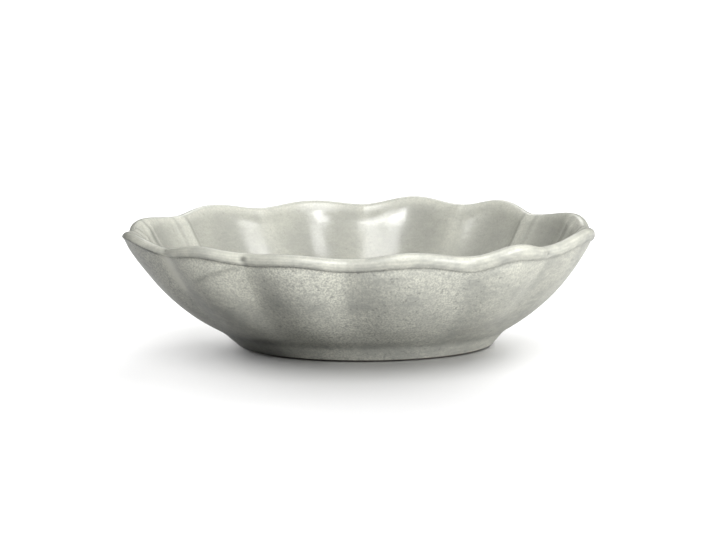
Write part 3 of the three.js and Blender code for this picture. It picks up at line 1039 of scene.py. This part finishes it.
# %% Clay material
CLAY_DARK = (0.33, 0.31, 0.28, 1)
CLAY_PALE = (0.38, 0.36, 0.325, 1)
SAND_COLOUR = (0.22, 0.205, 0.185, 1)
SAND_SCALE = 1400
SAND_EDGES = (0.5, 0.75)
SAND_AMOUNT = 0.6
PATCH_SCALE = 130
PATCH_EDGES = (0.3, 0.7)
CLAY_ROUGH = (0.8, 0.95)
CLAY_BUMP = 0.35
CLAY_BUMP_HEIGHT = 0.15 * MM

clay_finish, clay_tree, clay_shader = new_material("bare_fired_clay")
clay_place = new_node(clay_tree, "TexCoord").outputs["Object"]
sand = noise(clay_tree, clay_place, SAND_SCALE, detail=4, roughness=0.7)
patches = noise(clay_tree, clay_place, PATCH_SCALE, detail=3, roughness=0.5)
patched = mixed(clay_tree, to_range(clay_tree, patches, *PATCH_EDGES), CLAY_DARK, CLAY_PALE)
sand_share = to_range(clay_tree, sand, *SAND_EDGES, 0, SAND_AMOUNT)
sandy = mixed(clay_tree, sand_share, patched, SAND_COLOUR)
feed(clay_tree, clay_shader["Base Color"], sandy)
feed(clay_tree, clay_shader["Roughness"], to_range(clay_tree, sand, 0, 1, *CLAY_ROUGH))
bumped(clay_tree, clay_shader, sand, CLAY_BUMP, CLAY_BUMP_HEIGHT)
print("clay:", clay_finish.name)

# %% [markdown]
# Every piece is set on the body it rides on and takes its finish, and the solid that it stands for is
# hidden. The bowl doesn't move, so all of it rides on the one body.

# %% Join the pieces to the frame
def belongs(piece, node, finish):
    piece.data.materials.clear()
    piece.data.materials.append(finish)
    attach(piece, "root")
    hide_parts(node)


belongs(outer_glaze, "glaze_outside", outer_finish)
belongs(inner_glaze, "glaze_inside", inner_finish)
belongs(hollow_glaze, "glaze_underside", outer_finish)
belongs(foot_clay, "foot_ring", clay_finish)
belongs(lip_clay, "lip_roll", clay_finish)
wall_clay = cad_nodes["body"]
wall_clay.data.materials.clear()
wall_clay.data.materials.append(clay_finish)
print("pieces joined to the frame: 5, and 1 solid keeps its shape")

# %% [markdown]
# The bowl stands on a plain white floor that keeps its shadow. A white floor throws a lot of light up onto
# the bowl, more than the glaze can take without going flat. So a Light Path node makes the floor white
# for the camera, darker in reflections, and a mid grey for the light that bounces off it.

# %% Floor and surroundings
FLOOR_SIZE = 8.0
FLOOR_SEEN = 0.8
FLOOR_GLOSS_SHARE = 0.45
FLOOR_BOUNCE = 0.29
SURROUNDINGS = 0.06
WHITE = 1.0

deselect_everything()
bpy.ops.mesh.primitive_plane_add(size=FLOOR_SIZE, location=(0, 0, 0))
floor = bpy.context.object
floor.name = "studio_floor"
floor_finish, floor_tree, floor_shader = new_material("pale_studio_floor", "BsdfDiffuse")
ray = new_node(floor_tree, "LightPath").outputs
in_gloss = math_node(floor_tree, "MULTIPLY", ray["Is Glossy Ray"], FLOOR_GLOSS_SHARE)
seen = math_node(floor_tree, "MAXIMUM", ray["Is Camera Ray"], in_gloss)
bounce_grey = (FLOOR_BOUNCE, FLOOR_BOUNCE, FLOOR_BOUNCE, 1)
seen_grey = (FLOOR_SEEN, FLOOR_SEEN, FLOOR_SEEN, 1)
feed(floor_tree, floor_shader["Color"], mixed(floor_tree, seen, bounce_grey, seen_grey))
floor.data.materials.append(floor_finish)

world = bpy.data.worlds.new("white_studio")
bpy.context.scene.world = world
world.use_nodes = True
world_tree = world.node_tree
seen_by_camera = new_node(world_tree, "LightPath").outputs["Is Camera Ray"]
levels = {"Value": seen_by_camera, "To Min": SURROUNDINGS, "To Max": WHITE}
brightness = new_node(world_tree, "MapRange", levels)
backdrop = world_tree.nodes["Background"].inputs
feed(world_tree, backdrop["Color"], (1, 1, 1, 1))
feed(world_tree, backdrop["Strength"], brightness.outputs["Result"])
print("floor", FLOOR_SIZE, "m wide")

# %% [markdown]
# The floor and the bowl are lit apart, as a studio does with flags and grids. Light linking names the
# objects that a light reaches. First come the floor's own lights: wide, soft suns. Most of them stand low
# behind the bowl and shine in under its wall, so the shadow is short at the sides and gathers in front,
# a little more at the left. A high one leaves it dark close under the foot.

# %% Lights of the floor
SUN_DISTANCE = 1.5

bowl_pieces = [outer_glaze, inner_glaze, hollow_glaze, foot_clay, lip_clay, wall_clay]


def receivers(name, members):
    group = bpy.data.collections.new(name)
    for member in members:
        group.objects.link(member)
    return group


only_the_bowl = receivers("lit_bowl", bowl_pieces)
only_the_floor = receivers("lit_floor", [floor])


def add_light(kind, name, azimuth, elevation, distance, reached):
    """A light that faces the bowl. The azimuth counts from the camera's side to the right, in degrees."""
    turned = math.radians(azimuth)
    raised = math.radians(elevation)
    level = math.cos(raised)
    way = Vector((math.sin(turned) * level, -math.cos(turned) * level, math.sin(raised)))
    deselect_everything()
    bpy.ops.object.light_add(type=kind, location=way * distance)
    lamp = bpy.context.object
    lamp.name = name
    lamp.rotation_euler = way.to_track_quat("Z", "Y").to_euler()
    lamp.light_linking.receiver_collection = reached
    print(name, "at", [round(v, 2) for v in lamp.location])
    return lamp


def wide_sun(name, azimuth, elevation, spread, brightness):
    """Brightness is what the lit floor gains, where 1 is white."""
    lamp = add_light("SUN", name, azimuth, elevation, SUN_DISTANCE, only_the_floor)
    lamp.data.angle = math.radians(spread)
    lamp.data.energy = brightness * math.pi / (FLOOR_SEEN * math.sin(math.radians(elevation)))


wide_sun("floor_light_high", 0, 65, spread=60, brightness=0.42)
wide_sun("floor_light_right", 112, 45, spread=50, brightness=0.22)
wide_sun("floor_light_back_right", 135, 28, spread=40, brightness=0.15)
wide_sun("floor_light_low_right", 158, 18, spread=30, brightness=0.28)
wide_sun("floor_light_low_left", -158, 18, spread=30, brightness=0.19)
wide_sun("floor_light_back_left", -135, 18, spread=30, brightness=0.14)
wide_sun("floor_light_left", -112, 28, spread=40, brightness=0.09)

# %% [markdown]
# The bowl's lights are softboxes. A big one in front and above draws the broad bright bands in the flutes,
# with a weaker one beside it at the right. A low one at the right models the lobes of the outer wall, a
# top light and a back light keep the lip and the far side from falling into the dark, and a weak fill
# stands at the left. Another fill low behind lights the rear wall and the two tips. It is kept out of
# reflections, where it would leave white patches on the tips.

# %% Lights of the bowl
SOFTBOX_DISTANCE = 1.1


def softbox(name, azimuth, elevation, size, power):
    lamp = add_light("AREA", name, azimuth, elevation, SOFTBOX_DISTANCE, only_the_bowl)
    lamp.data.shape = "RECTANGLE"
    lamp.data.size, lamp.data.size_y = size
    lamp.data.energy = power
    return lamp


softbox("front_softbox", 3, 37, size=(0.42, 0.42), power=8.8)
softbox("front_right_softbox", 25, 35, size=(0.4, 0.4), power=2.2)
softbox("top_softbox", 21, 62, size=(0.4, 0.4), power=2.4)
softbox("low_right_softbox", 54, 7, size=(0.4, 0.5), power=13.0)
softbox("left_fill_softbox", -35, 28, size=(0.4, 0.4), power=0.6)
softbox("back_softbox", 180, 45, size=(0.5, 0.5), power=2.3)
back_fill = softbox("low_back_fill", 196, 8, size=(0.4, 0.5), power=7.0)
back_fill.visible_glossy = False

# %% [markdown]
# The camera stands in front of the long side, about ten degrees above the table and far back, with a long
# lens. It is aimed a touch above the bowl's middle and rolled by a third of a degree.

# %% Camera
CAMERA_DISTANCE = 0.9193
CAMERA_ELEVATION = 10.571
CAMERA_ROLL = 0.334
CAMERA_LENS = 118.84
SENSOR_WIDTH = 36
CLIP_START = 0.01
LOOK_HEIGHT = 24 * MM
AIM_HEIGHT = 29.04 * MM

raised = math.radians(CAMERA_ELEVATION)
eye = Vector((0, -CAMERA_DISTANCE * math.cos(raised), LOOK_HEIGHT + CAMERA_DISTANCE * math.sin(raised)))
pitch = math.atan2(eye.z - AIM_HEIGHT, -eye.y)
bpy.ops.object.camera_add(location=eye, rotation=(math.pi / 2 - pitch, math.radians(CAMERA_ROLL), 0))
camera = bpy.context.object
camera.name = "photo_camera"
camera.data.lens = CAMERA_LENS
camera.data.sensor_width = SENSOR_WIDTH
camera.data.clip_start = CLIP_START
bpy.context.scene.camera = camera
bpy.context.scene.view_settings.view_transform = "Standard"
print("camera at", [round(v, 3) for v in eye])
